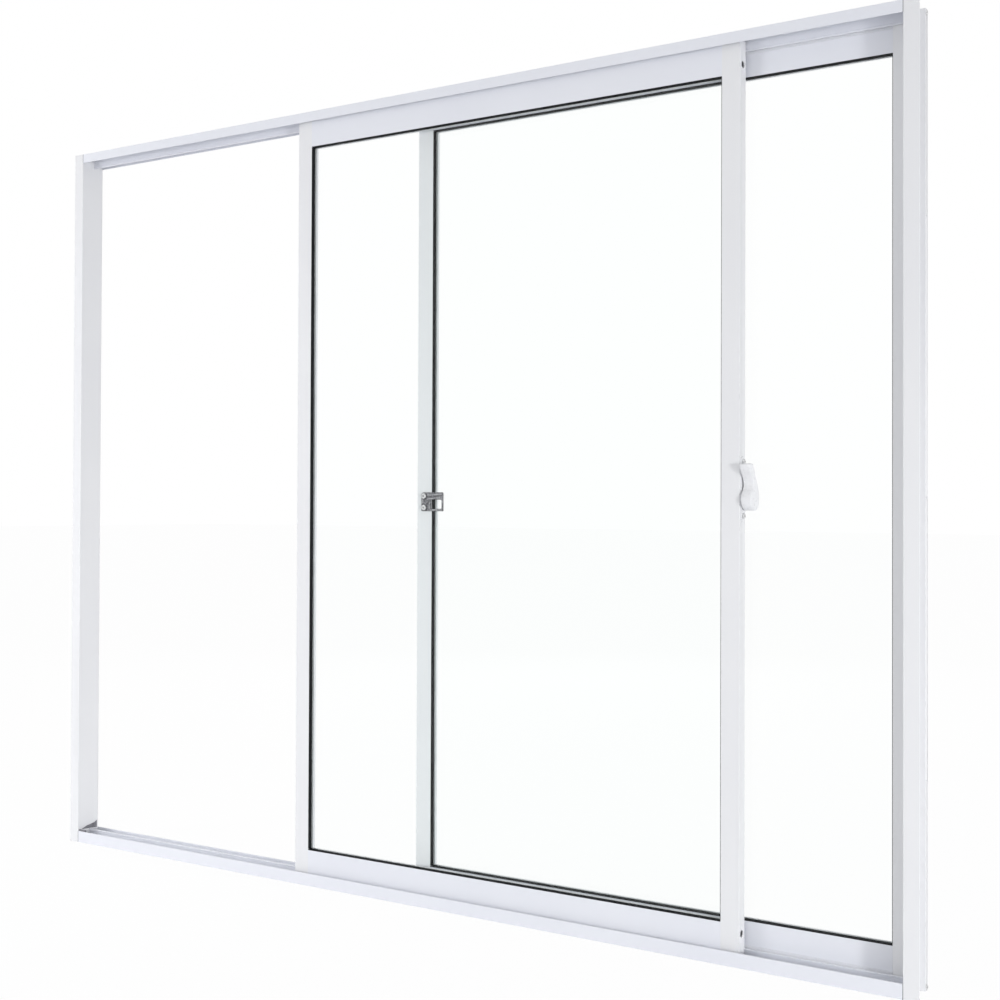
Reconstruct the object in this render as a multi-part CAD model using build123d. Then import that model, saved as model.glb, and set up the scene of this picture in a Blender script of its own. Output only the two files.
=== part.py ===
from build123d import *
import os

# White aluminium sliding window: an outer frame and two glazed leaves on rollers, the front leaf half open.
# Millimetres. X runs along the width, Y from the room face to the outer face, Z up.
# Every function places its pieces with Y = 0 on the room face, and save moves them to the part's origin,
# which is the middle of the sill's underside.

# Outer frame
frame_width = 1500.0
frame_height = 1200.0
frame_depth = 54.0
profile_wall = 1.6
jamb_flange_width = 20.0
jamb_trim_overhang = 14.5
jamb_web = 2.0
jamb_step_width = 7.5
jamb_rear_depth = 9.0
head_flange_height = 15.0
head_middle_web_drop = 20.0
head_rear_web_drop = 16.0
sill_front_height = 19.0
sill_middle_web_height = 18.0
sill_rear_web_height = 16.0
track_rib_width = 2.0
track_rib_height = 6.0
web_bead_width = 3.0
web_bead_height = 2.4
joint_gap = 0.3
drain_slot_length = 30.0
drain_slot_height = 5.0
drain_slot_spacing = 500.0
drain_slot_offset = 150.0
fixing_hole_diameter = 4.0
fixing_hole_inset = 255.0

# Leaves
leaf_depth = 17.0
front_leaf_setback = 9.0
leaf_spacing = 23.0
leaf_wall = 1.4
stile_width = 26.0
meeting_overlap = 38.0
leaf_side_gap = 1.0
rail_height = 44.0
daylight_margin = 52.5
glazing_pocket = 9.0
glass_thickness = 5.0
glass_edge_cover = 7.0
gasket_reach = 2.0
gasket_bite = 6.0
front_leaf_opening = 494.5
tongue_gap = 0.2

# Rollers and guides
wheel_radius = 9.0
wheel_groove_depth = 1.5
wheel_width = 6.0
wheel_groove_width = 2.6
axle_diameter = 4.0
running_gap = 0.2
roller_housing_length = 56.0
roller_housing_height = 20.0
roller_housing_slack = 0.3
roller_slot_width = 7.0
roller_inset = 34.0
guide_length = 40.0
guide_width = 11.0
guide_height = 5.5

# Weather brushes
brush_width = 5.0
brush_web_gap = 0.3
rail_brush_lap = 1.5
stile_brush_depth = 4.5
stile_brush_inset = 4.0
stile_brush_end_gap = 6.0

# Screws
screw_diameter = 4.0
screw_hole_slack = 0.3
screw_head_diameter = 7.5
screw_head_height = 2.2
screw_port_diameter = 6.6
port_seat = 0.35
frame_screw_length = 24.0
leaf_screw_length = 34.0
screw_access_diameter = 9.0

# Latch and keeper
latch_height = 598.0
latch_plate_length = 84.0
latch_plate_width = 13.0
latch_plate_thickness = 1.5
latch_screw_spacing = 70.0
latch_screw_length = 12.0
latch_plate_rise = 13.0
latch_boss_radius = 7.0
latch_boss_height = 2.0
lever_thickness = 14.5
lever_hub_radius = 13.5
lever_hub_drop = 1.5
lever_root_radius = 8.0
lever_root_rise = 10.0
lever_tip_radius = 6.0
lever_tip_lean = 12.0
lever_tip_rise = 39.5
lever_edge_radius = 2.0
keeper_plate_width = 18.0
keeper_plate_height = 28.0
keeper_thickness = 2.2
keeper_side_inset = 8.0
keeper_reach = 40.0
keeper_loop_bar = 4.0
keeper_loop_top_bar = 11.0
keeper_screw_spacing = 17.0
keeper_screw_inset = 5.5
keeper_screw_length = 10.0
keeper_drop = 4.5

# Places that follow from the sizes
web_outer = frame_width / 2 - jamb_trim_overhang
web_inner = web_outer - jamb_web
rear_outer = web_outer + jamb_step_width
rear_inner = rear_outer - jamb_web
step_front = frame_depth - jamb_rear_depth
step_rear = step_front + profile_wall
leaf_width = (2 * web_inner - 2 * leaf_side_gap + meeting_overlap) / 2
rear_leaf_left = web_inner - leaf_side_gap - leaf_width
front_leaf_left = -web_inner + leaf_side_gap + front_leaf_opening
rear_leaf_setback = front_leaf_setback + leaf_spacing
middle_web_front = (front_leaf_setback + leaf_depth + rear_leaf_setback - profile_wall) / 2
middle_web_rear = middle_web_front + profile_wall
bead_front = (middle_web_front + middle_web_rear - web_bead_width) / 2
bead_rear = bead_front + web_bead_width
daylight_bottom = daylight_margin
daylight_top = frame_height - daylight_margin
leaf_bottom = daylight_bottom - rail_height
leaf_top = daylight_top + rail_height
port_radius = screw_port_diameter / 2
port_bore = screw_diameter / 2 + screw_hole_slack / 2
rail_port_drop = glazing_pocket + leaf_wall / 2 + port_radius
front_port_depth = profile_wall + screw_head_diameter / 2 + screw_hole_slack
rear_port_depth = frame_depth - profile_wall - port_radius + port_seat
sill_port_height = profile_wall + port_radius - port_seat
head_port_height = frame_height - sill_port_height
keeper_middle = latch_height - keeper_drop


def block(x0, x1, y0, y1, z0, z1):
    """A plain box between two corners."""
    middle = Pos((x0 + x1) / 2, (y0 + y1) / 2, (z0 + z1) / 2)
    return middle * Box(x1 - x0, y1 - y0, z1 - z0)


def rod_along_x(x0, x1, y, z, radius):
    """A round rod along the width."""
    turn = Rot(0, 90, 0)
    return Pos((x0 + x1) / 2, y, z) * turn * Cylinder(radius, x1 - x0)


def rod_along_y(y0, y1, x, z, radius):
    """A round rod along the depth."""
    turn = Rot(90, 0, 0)
    return Pos(x, (y0 + y1) / 2, z) * turn * Cylinder(radius, y1 - y0)


def mirrored(shape):
    """The same piece on the other side of the window's middle."""
    return mirror(shape, about=Plane.YZ)


def save(name, shapes):
    """Writes the solids of one node, moved so that the origin is under the middle of the frame's depth."""
    placed = [Pos(0, -frame_depth / 2, 0) * shape for shape in shapes]
    solids = [solid for shape in placed for solid in shape.solids()]
    body = solids[0] if len(solids) == 1 else Compound(children=solids)
    export_step(body, f"parts/{name}.step")


# Outer frame pieces

def screw_port(x_half, y, z):
    """A round port along a profile, which the corner screws bite into."""
    return rod_along_x(-x_half, x_half, y, z, port_radius)


def port_bores(x_half, places):
    """The bores of a profile's screw ports, open at both ends."""
    bores = [rod_along_x(-x_half, x_half, y, z, port_bore) for y, z in places]
    return bores[0] + bores[1]


def frame_port_places(z):
    """The two screw ports of the head or the sill, in depth and height."""
    return [(front_port_depth, z), (rear_port_depth, z)]


def head():
    """The top profile: roof, front flange, middle web and rear web, between the jambs."""
    front_half = frame_width / 2 - jamb_flange_width - joint_gap
    rear_half = rear_inner - joint_gap
    roof = frame_height - profile_wall
    rear_face = frame_depth - profile_wall
    web_bottom = frame_height - head_middle_web_drop
    shape = block(-web_inner, web_inner, profile_wall, rear_face, roof, frame_height)
    shape += block(-rear_half, rear_half, step_rear + joint_gap, rear_face, roof, frame_height)
    shape += block(-front_half, front_half, 0, profile_wall, frame_height - head_flange_height, frame_height)
    shape += block(-rear_half, rear_half, rear_face, frame_depth, frame_height - head_rear_web_drop, frame_height)
    shape += block(-web_inner, web_inner, middle_web_front, middle_web_rear, web_bottom, roof)
    shape += block(-web_inner, web_inner, bead_front, bead_rear,
                   web_bottom, web_bottom + web_bead_height)
    places = frame_port_places(head_port_height)
    for y, z in places:
        shape += screw_port(front_half, y, z)
    return shape - port_bores(web_inner, places)


def sill():
    """The bottom profile: floor, front face, middle web, rear web and a rib under each leaf's rollers."""
    front_half = frame_width / 2 - jamb_flange_width - joint_gap
    rear_half = rear_inner - joint_gap
    rear_face = frame_depth - profile_wall
    shape = block(-web_inner, web_inner, profile_wall, rear_face, 0, profile_wall)
    shape += block(-rear_half, rear_half, step_rear + joint_gap, rear_face, 0, profile_wall)
    shape += block(-front_half, front_half, 0, profile_wall, 0, sill_front_height)
    shape += block(-rear_half, rear_half, rear_face, frame_depth, 0, sill_rear_web_height)
    shape += block(-web_inner, web_inner, middle_web_front, middle_web_rear, 0, sill_middle_web_height)
    shape += block(-web_inner, web_inner, bead_front, bead_rear,
                   sill_middle_web_height - web_bead_height, sill_middle_web_height)
    for setback in (front_leaf_setback, rear_leaf_setback):
        rib_front = setback + (leaf_depth - track_rib_width) / 2
        shape += block(-web_inner, web_inner, rib_front, rib_front + track_rib_width, 0, track_rib_height)
    places = frame_port_places(sill_port_height)
    for y, z in places:
        shape += screw_port(front_half, y, z)
    shape -= port_bores(web_inner, places)
    return shape - drain_slots()


def drain_slots():
    """Slots above the floor in the sill's middle and rear webs, which let rain water out."""
    cuts = []
    for side in (-1, 1):
        middle = drain_slot_offset + side * drain_slot_spacing / 2
        cuts.append(block(middle - drain_slot_length / 2, middle + drain_slot_length / 2,
                          middle_web_front - profile_wall, frame_depth + profile_wall,
                          sill_port_height + port_radius + leaf_wall,
                          sill_port_height + port_radius + leaf_wall + drain_slot_height))
    return cuts[0] + cuts[1]


def right_jamb():
    """A side profile as tall as the frame: front flange, web, and a rear part that steps outward."""
    flange_inner = frame_width / 2 - jamb_flange_width
    shape = block(flange_inner, frame_width / 2, 0, profile_wall, 0, frame_height)
    shape += block(web_inner, web_outer, profile_wall, step_rear, 0, frame_height)
    shape += block(web_inner, rear_outer, step_front, step_rear, 0, frame_height)
    shape += block(rear_inner, rear_outer, step_front, frame_depth, 0, frame_height)
    for z in (sill_port_height, head_port_height):
        for y, seat in frame_screw_seats():
            shape -= rod_along_x(seat - 2 * jamb_web, seat + jamb_web, y, z, port_bore)
    fixing_depth = (step_rear + frame_depth) / 2
    for z in (fixing_hole_inset, frame_height / 2, frame_height - fixing_hole_inset):
        shape -= rod_along_x(rear_inner - jamb_web, rear_outer + jamb_web,
                             fixing_depth, z, fixing_hole_diameter / 2)
    return shape


def frame_screw_seats():
    """The depth of each frame screw, and the side of the jamb that its head seats on."""
    return [(front_port_depth, web_outer), (rear_port_depth, rear_outer)]


def frame_screws():
    """The pan-head screws through the jambs into the ends of the head and the sill."""
    screws = []
    for z in (sill_port_height, head_port_height):
        for y, seat in frame_screw_seats():
            shaft = rod_along_x(seat - frame_screw_length, seat, y, z, screw_diameter / 2)
            screws.append(shaft + rod_along_x(seat, seat + screw_head_height, y, z, screw_head_diameter / 2))
    return screws + [mirrored(screw) for screw in screws]


# Leaf pieces, each placed by the leaf's left edge and its setback from the room face

def left_stile(left, setback):
    """The upright on a leaf's left side: a hollow box with a glazing pocket towards the glass."""
    rear = setback + leaf_depth
    box_inner = left + stile_width - glazing_pocket
    shape = block(left, left + stile_width, setback, rear, leaf_bottom, leaf_top)
    shape -= block(left + leaf_wall, box_inner - leaf_wall, setback + leaf_wall, rear - leaf_wall,
                   leaf_bottom, leaf_top)
    shape -= block(box_inner, left + stile_width, setback + leaf_wall, rear - leaf_wall, leaf_bottom, leaf_top)
    y = setback + leaf_depth / 2
    for z in leaf_screw_heights():
        shape -= rod_along_x(left - leaf_wall, left + 2 * leaf_wall, y, z, screw_access_diameter / 2)
        shape -= rod_along_x(box_inner - 2 * leaf_wall, box_inner + leaf_wall, y, z, port_bore)
    return shape


def right_stile(left, setback):
    """The upright on a leaf's right side, the left one's mirror image."""
    return mirrored(left_stile(-left - leaf_width, setback))


def latch_stile(left, setback):
    """The front leaf's right upright, with the two holes that the latch is screwed to."""
    right = left + leaf_width
    shape = right_stile(left, setback)
    for z in latch_screw_heights():
        shape -= rod_along_x(right - 2 * leaf_wall, right + leaf_wall, setback + leaf_depth / 2, z, port_bore)
    return shape


def keeper_stile(left, setback):
    """The rear leaf's left upright, with the two holes that the keeper is screwed to."""
    shape = left_stile(left, setback)
    x = left + keeper_side_inset + keeper_screw_inset
    for z in keeper_screw_heights():
        shape -= rod_along_y(setback - leaf_wall, setback + 2 * leaf_wall, x, z, port_bore)
    return shape


def leaf_screw_heights():
    """The heights of the screws that hold a leaf's corners together."""
    return (daylight_bottom - rail_port_drop, daylight_top + rail_port_drop)


def top_rail(left, setback):
    """A leaf's closed top profile, with tongues that reach into the stiles' pockets."""
    rear = setback + leaf_depth
    x0 = left + stile_width
    x1 = left + leaf_width - stile_width
    pocket_top = daylight_top + glazing_pocket
    shape = block(x0, x1, setback, rear, daylight_top, leaf_top)
    shape -= block(x0, x1, setback + leaf_wall, rear - leaf_wall, daylight_top, pocket_top)
    shape -= block(x0, x1, setback + leaf_wall, rear - leaf_wall, pocket_top + leaf_wall, leaf_top - leaf_wall)
    shape += rail_core(left, setback, pocket_top, pocket_top + leaf_wall)
    shape += rail_core(left, setback, leaf_top - leaf_wall, leaf_top)
    return with_rail_port(shape, left, setback, daylight_top + rail_port_drop)


def bottom_rail(left, setback):
    """A leaf's bottom profile, open below for the rollers."""
    rear = setback + leaf_depth
    x0 = left + stile_width
    x1 = left + leaf_width - stile_width
    pocket_bottom = daylight_bottom - glazing_pocket
    shape = block(x0, x1, setback, rear, leaf_bottom, daylight_bottom)
    shape -= block(x0, x1, setback + leaf_wall, rear - leaf_wall, pocket_bottom, daylight_bottom)
    shape -= block(x0, x1, setback + leaf_wall, rear - leaf_wall, leaf_bottom, pocket_bottom - leaf_wall)
    shape += rail_core(left, setback, pocket_bottom - leaf_wall, pocket_bottom)
    return with_rail_port(shape, left, setback, daylight_bottom - rail_port_drop)


def rail_core(left, setback, z0, z1):
    """A level wall of a rail, which reaches past its ends to the box of each stile."""
    reach = stile_width - glazing_pocket
    return block(left + reach, left + leaf_width - reach, setback + leaf_wall + tongue_gap,
                 setback + leaf_depth - leaf_wall - tongue_gap, z0, z1)


def with_rail_port(rail, left, setback, z):
    """Adds the screw port under a rail's glazing pocket."""
    reach = stile_width - glazing_pocket
    x0 = left + reach
    x1 = left + leaf_width - reach
    y = setback + leaf_depth / 2
    rail += rod_along_x(x0, x1, y, z, port_radius)
    return rail - rod_along_x(x0, x1, y, z, port_bore)


def leaf_screws(left, setback):
    """The four corner screws of a leaf, seated inside the stiles' boxes."""
    y = setback + leaf_depth / 2
    seat = left + stile_width - glazing_pocket - leaf_wall
    right_seat = 2 * left + leaf_width - seat
    screws = []
    for z in leaf_screw_heights():
        shaft = rod_along_x(seat, seat + leaf_screw_length, y, z, screw_diameter / 2)
        screws.append(shaft + rod_along_x(seat - screw_head_height, seat, y, z, screw_head_diameter / 2))
        shaft = rod_along_x(right_seat - leaf_screw_length, right_seat, y, z, screw_diameter / 2)
        screws.append(shaft + rod_along_x(right_seat, right_seat + screw_head_height, y, z,
                                          screw_head_diameter / 2))
    return screws


def glass(left, setback):
    """The pane, held in the glazing pockets on all four sides."""
    front = setback + (leaf_depth - glass_thickness) / 2
    edge = stile_width - glass_edge_cover
    return block(left + edge, left + leaf_width - edge, front, front + glass_thickness,
                 daylight_bottom - glass_edge_cover, daylight_top + glass_edge_cover)


def gasket_outline():
    """One glazing seal's section: depth from the leaf's face, and reach into the daylight from the metal's edge."""
    glass_front = (leaf_depth - glass_thickness) / 2
    lip = leaf_wall * 0.35
    return [(leaf_wall, -gasket_bite), (glass_front, -gasket_bite), (glass_front, gasket_reach),
            (lip, gasket_reach * 0.4), (lip, 0), (leaf_wall, 0)]


def upright_gaskets(left, setback, inner_edge, towards):
    """The front and rear seals along a stile; towards is 1 where the glass is on the right, -1 on the left."""
    z0 = daylight_bottom + gasket_reach
    z1 = daylight_top - gasket_reach
    seals = []
    for flip in (False, True):
        points = []
        for depth, reach in gasket_outline():
            y = setback + (leaf_depth - depth if flip else depth)
            points.append((inner_edge + towards * reach, y))
        face = make_face(Polyline(*points, close=True))
        seals.append(extrude(Pos(0, 0, z0) * face, amount=z1 - z0, dir=(0, 0, 1)))
    return seals


def level_gaskets(left, setback, edge_height, towards):
    """The front and rear seals along a rail; towards is 1 where the glass is above, -1 where it is below."""
    x0 = left + stile_width
    x1 = left + leaf_width - stile_width
    seals = []
    for flip in (False, True):
        points = []
        for depth, reach in gasket_outline():
            y = setback + (leaf_depth - depth if flip else depth)
            points.append((x0, y, edge_height + towards * reach))
        face = make_face(Polyline(*points, close=True))
        seals.append(extrude(face, amount=x1 - x0, dir=(1, 0, 0)))
    return seals


def roller_middles(left):
    """The places along a leaf of its two rollers."""
    inset = stile_width + roller_inset
    return (left + inset, left + leaf_width - inset)


def wheel_height():
    """The height of a roller's axle: its groove runs on the sill's rib."""
    return track_rib_height + running_gap + wheel_radius - wheel_groove_depth


def roller_wheels(left, setback):
    """Two grooved wheels that carry a leaf on the sill's rib."""
    y = setback + leaf_depth / 2
    wheels = []
    for x in roller_middles(left):
        wheel = rod_along_y(y - wheel_width / 2, y + wheel_width / 2, x, wheel_height(), wheel_radius)
        groove = rod_along_y(y - wheel_groove_width / 2, y + wheel_groove_width / 2, x, wheel_height(),
                             wheel_radius + leaf_wall)
        root = rod_along_y(y - wheel_groove_width / 2, y + wheel_groove_width / 2, x, wheel_height(),
                           wheel_radius - wheel_groove_depth)
        bore = rod_along_y(y - wheel_width, y + wheel_width, x, wheel_height(),
                           axle_diameter / 2 + running_gap)
        wheels.append(wheel - groove + root - bore)
    return wheels


def roller_housings(left, setback):
    """The blocks inside the bottom rail that hold the wheels on their axles."""
    front = setback + leaf_wall + roller_housing_slack
    rear = setback + leaf_depth - leaf_wall - roller_housing_slack
    y = setback + leaf_depth / 2
    bottom = leaf_bottom + leaf_wall
    housings = []
    for x in roller_middles(left):
        housing = block(x - roller_housing_length / 2, x + roller_housing_length / 2, front, rear,
                        bottom, bottom + roller_housing_height)
        slot_reach = wheel_radius + leaf_wall
        housing -= block(x - slot_reach, x + slot_reach, y - roller_slot_width / 2, y + roller_slot_width / 2,
                         bottom, wheel_height() + slot_reach)
        housing += rod_along_y(front, rear, x, wheel_height(), axle_diameter / 2)
        housings.append(housing)
    return housings


def top_guides(left, setback):
    """The two blocks on top of a leaf that keep it under the head's roof."""
    y = setback + leaf_depth / 2
    guides = []
    for x in roller_middles(left):
        guides.append(block(x - guide_length / 2, x + guide_length / 2, y - guide_width / 2,
                            y + guide_width / 2, leaf_top, leaf_top + guide_height))
    return guides


def rail_brushes(left, front, rear):
    """The brush strips along a leaf's rails, which rub on the middle webs of the sill and the head."""
    x0 = left + stile_width
    x1 = left + leaf_width - stile_width
    low = sill_middle_web_height - rail_brush_lap
    high = frame_height - head_middle_web_drop + rail_brush_lap
    return [block(x0, x1, front, rear, low, low + brush_width),
            block(x0, x1, front, rear, high - brush_width, high)]


def front_leaf_brushes(left, setback):
    """Brushes behind the front leaf's rails, and one behind its right stile."""
    rear = setback + leaf_depth
    outer = left + leaf_width - stile_brush_inset
    strips = rail_brushes(left, rear, bead_front - brush_web_gap)
    strips.append(block(outer - brush_width, outer, rear, rear + stile_brush_depth,
                        sill_middle_web_height + stile_brush_end_gap,
                        frame_height - head_middle_web_drop - stile_brush_end_gap))
    return strips


def rear_leaf_brushes(left, setback):
    """Brushes in front of the rear leaf's rails."""
    return rail_brushes(left, bead_rear + brush_web_gap, setback)


# Latch on the front leaf's right side, and its keeper on the rear leaf

def latch_screw_heights():
    """The heights of the two screws of the latch."""
    middle = latch_height + latch_plate_rise
    return (middle - latch_screw_spacing / 2, middle + latch_screw_spacing / 2)


def latch_plate(side, y):
    """The latch's base plate on the stile's side, with the boss that the lever turns on."""
    middle = latch_height + latch_plate_rise
    outline = Plane.YZ * SlotOverall(latch_plate_length, latch_plate_width, rotation=90)
    plate = extrude(Pos(side, y, middle) * outline, amount=latch_plate_thickness, dir=(1, 0, 0))
    boss_start = side + latch_plate_thickness
    plate += rod_along_x(side, boss_start + latch_boss_height, y, latch_height, latch_boss_radius)
    for z in latch_screw_heights():
        plate -= rod_along_x(side - leaf_wall, boss_start + leaf_wall, y, z, port_bore)
    return plate


def latch_lever(side, y):
    """The lever: a round hub with an arm that rises from it and leans towards the room."""
    start = side + latch_plate_thickness + latch_boss_height
    hub = Pos(0, -lever_hub_drop) * Circle(lever_hub_radius)
    root = Pos(0, lever_root_rise) * Circle(lever_root_radius)
    tip = Pos(-lever_tip_lean, lever_tip_rise) * Circle(lever_tip_radius)
    outline = hub + make_hull((root + tip).edges())
    lever = extrude(Pos(start, y, latch_height) * (Plane.YZ * outline), amount=lever_thickness, dir=(1, 0, 0))
    outer_edges = lever.edges().group_by(Axis.X)[-1]
    return fillet(outer_edges, lever_edge_radius)


def latch_screws(side, y):
    """The two screws through the latch's plate into the stile."""
    seat = side + latch_plate_thickness
    screws = []
    for z in latch_screw_heights():
        shaft = rod_along_x(seat - latch_screw_length, seat, y, z, screw_diameter / 2)
        screws.append(shaft + rod_along_x(seat, seat + screw_head_height, y, z, screw_head_diameter / 2))
    return screws


def keeper_screw_heights():
    """The heights of the two screws of the keeper."""
    return (keeper_middle - keeper_screw_spacing / 2, keeper_middle + keeper_screw_spacing / 2)


def keeper(left, setback):
    """The cast plate on the rear leaf's left stile, with the loop that the latch hooks into."""
    x0 = left + keeper_side_inset
    z0 = keeper_middle - keeper_plate_height / 2
    z1 = keeper_middle + keeper_plate_height / 2
    front = setback - keeper_thickness
    shape = block(x0, x0 + keeper_reach, front, setback, z0, z1)
    shape -= block(x0 + keeper_plate_width, x0 + keeper_reach - keeper_loop_bar,
                   front, setback, z0 + keeper_loop_bar, z1 - keeper_loop_top_bar)
    for z in keeper_screw_heights():
        shape -= rod_along_y(front - leaf_wall, setback + leaf_wall, x0 + keeper_screw_inset, z, port_bore)
    return shape


def keeper_screws(left, setback):
    """The two screws through the keeper into the stile."""
    x = left + keeper_side_inset + keeper_screw_inset
    seat = setback - keeper_thickness
    screws = []
    for z in keeper_screw_heights():
        shaft = rod_along_y(seat, seat + keeper_screw_length, x, z, screw_diameter / 2)
        screws.append(shaft + rod_along_y(seat - screw_head_height, seat, x, z, screw_head_diameter / 2))
    return screws


def save_leaf(leaf, left, setback):
    """Writes the pieces that both leaves have."""
    save(f"{leaf}_top_rail", [top_rail(left, setback)])
    save(f"{leaf}_bottom_rail", [bottom_rail(left, setback)])
    save(f"{leaf}_corner_screws", leaf_screws(left, setback))
    save(f"{leaf}_glass", [glass(left, setback)])
    save(f"{leaf}_left_gasket", upright_gaskets(left, setback, left + stile_width, 1))
    save(f"{leaf}_right_gasket", upright_gaskets(left, setback, left + leaf_width - stile_width, -1))
    save(f"{leaf}_bottom_gasket", level_gaskets(left, setback, daylight_bottom, 1))
    save(f"{leaf}_top_gasket", level_gaskets(left, setback, daylight_top, -1))
    save(f"{leaf}_roller_wheels", roller_wheels(left, setback))
    save(f"{leaf}_roller_housings", roller_housings(left, setback))
    save(f"{leaf}_top_guides", top_guides(left, setback))


os.makedirs("parts", exist_ok=True)

save("head", [head()])
save("sill", [sill()])
save("right_jamb", [right_jamb()])
save("left_jamb", [mirrored(right_jamb())])
save("frame_screws", frame_screws())

save_leaf("front_leaf", front_leaf_left, front_leaf_setback)
save("front_leaf_left_stile", [left_stile(front_leaf_left, front_leaf_setback)])
save("front_leaf_right_stile", [latch_stile(front_leaf_left, front_leaf_setback)])
save("front_leaf_brushes", front_leaf_brushes(front_leaf_left, front_leaf_setback))

save_leaf("rear_leaf", rear_leaf_left, rear_leaf_setback)
save("rear_leaf_left_stile", [keeper_stile(rear_leaf_left, rear_leaf_setback)])
save("rear_leaf_right_stile", [right_stile(rear_leaf_left, rear_leaf_setback)])
save("rear_leaf_brushes", rear_leaf_brushes(rear_leaf_left, rear_leaf_setback))

latch_side = front_leaf_left + leaf_width
latch_depth = front_leaf_setback + leaf_depth / 2
save("latch_plate", [latch_plate(latch_side, latch_depth)])
save("latch_lever", [latch_lever(latch_side, latch_depth)])
save("latch_screws", latch_screws(latch_side, latch_depth))
save("keeper", [keeper(rear_leaf_left, rear_leaf_setback)])
save("keeper_screws", keeper_screws(rear_leaf_left, rear_leaf_setback))
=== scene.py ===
import math
import random

import bmesh
import bpy
from mathutils import Matrix, Vector


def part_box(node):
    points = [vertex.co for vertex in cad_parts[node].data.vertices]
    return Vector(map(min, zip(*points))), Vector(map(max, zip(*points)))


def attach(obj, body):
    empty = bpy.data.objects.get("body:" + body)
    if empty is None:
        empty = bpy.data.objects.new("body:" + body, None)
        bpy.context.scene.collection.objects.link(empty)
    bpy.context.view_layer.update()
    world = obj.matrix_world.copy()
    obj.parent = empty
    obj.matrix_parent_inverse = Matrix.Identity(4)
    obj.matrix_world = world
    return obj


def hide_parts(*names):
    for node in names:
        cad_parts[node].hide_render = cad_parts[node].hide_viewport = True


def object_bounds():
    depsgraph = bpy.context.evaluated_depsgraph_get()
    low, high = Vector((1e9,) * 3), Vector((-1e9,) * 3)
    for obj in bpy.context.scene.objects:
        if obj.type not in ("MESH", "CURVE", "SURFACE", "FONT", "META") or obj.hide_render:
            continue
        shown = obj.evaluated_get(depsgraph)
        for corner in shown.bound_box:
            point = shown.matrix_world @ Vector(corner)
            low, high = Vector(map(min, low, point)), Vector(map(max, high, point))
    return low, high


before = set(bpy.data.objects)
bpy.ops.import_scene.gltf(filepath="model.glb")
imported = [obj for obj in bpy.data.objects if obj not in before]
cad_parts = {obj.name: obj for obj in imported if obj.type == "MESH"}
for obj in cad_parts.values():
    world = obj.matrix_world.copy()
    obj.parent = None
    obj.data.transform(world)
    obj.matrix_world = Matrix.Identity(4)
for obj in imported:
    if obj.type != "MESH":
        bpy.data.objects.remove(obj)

# The looks of a white aluminium sliding window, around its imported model.
# Metres, in the model's frame: X along the width, the room on the -Y side, Z up.

cad_low, cad_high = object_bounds()

MM = 0.001
BODY = "root"
LEAVES = ("front_leaf", "rear_leaf")

# Camera, fitted to the straight edges of the window in the photograph
CAMERA_PLACE = Vector((1.310, -1.771, 0.589))
CAMERA_TURN = math.radians(33.64)
CAMERA_TILT = math.radians(0.745)
CAMERA_ROLL = math.radians(0.216)
FOCAL_SHARE = 1.479
SHIFT_UP = -0.0142
SENSOR_WIDTH = 36.0

# Round edges of the extruded profiles and of the small fittings
PROFILE_ROUND = 0.35 * MM
GLASS_ROUND = 0.5 * MM
RUBBER_ROUND = 0.15 * MM
FITTING_ROUND = 0.5 * MM
WELD_REACH = 0.002 * MM

# Refractive index of the panes, with their surface reflections coated away
GLASS_INDEX = 1.2

# Screws
HEAD_HEIGHT = 2.2 * MM
HEAD_RADIUS = 3.75 * MM
HEAD_RIM = 0.6 * MM
HEAD_CHAMFER = 0.3 * MM
HEAD_FLAT_SHARE = 0.42
HEAD_DOME_STEPS = 7
FRAME_HEAD_SHARE = 0.5
SHAFT_RADIUS = 2.0 * MM
SHAFT_TUCK = 0.01 * MM
SHAFT_STEPS = 14
CORE_RADIUS = 1.55 * MM
THREAD_PITCH = 1.4 * MM
CROSS_REACH = 2.1 * MM
CROSS_HALF_WIDTH = 0.5 * MM
CROSS_DEPTH = 1.3 * MM
CROSS_FOOT_SHARE = 0.45
ROUND_STEPS = 28
CORNER_STEPS = 6

# Brush strips
TUFT_PITCH = 1.1 * MM
TUFT_WIDTH = 0.55 * MM
TUFT_LEAN = 0.5 * MM
TUFT_ROWS = 3
TUFT_DEPTH_SHARE = 0.3
TUFT_SHORTEST_SHARE = 0.88
BACKING_SHARE = 0.3

# Roller wheels: the groove as depth below the rim and half its width
WHEEL_HUB = 2.0 * MM
WHEEL_RIM = 2.9 * MM
WHEEL_SLOPE = 0.3 * MM
WHEEL_SINK = 0.8 * MM
WHEEL_GROOVE = ((0.0, 1.5), (1.2, 0.9), (1.5, 0.0))
WHEEL_STEPS = 48

# Sealant beads in the joints of the frame's front
JOINT_X = 729.85 * MM
SEAL_WIDTH = 0.8 * MM
SEAL_PROUD = 0.05 * MM
SEAL_BITE = 0.5 * MM
SEAL_TALL = {"head": 15.0 * MM, "sill": 19.0 * MM}

# Dark block at the left jamb's foot, painted shade where the corner of the sill's channel lies in shade:
# outlines as depth behind the sill's face and height, in millimetres
SHADE_BLOCK_WEB_X = 733.4 * MM
SHADE_BLOCK_WEDGE_THICK = 1.0 * MM
SHADE_BLOCK_WEDGE = ((11.0, 20.0), (44.0, 18.0), (44.0, 30.0), (40.0, 27.5), (22.0, 24.0))
SHADE_BLOCK_FOOT_REACH = 16.0 * MM
SHADE_BLOCK_FOOT = ((1.6, 15.0), (8.4, 15.0), (7.0, 20.4), (1.6, 21.0))

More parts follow.
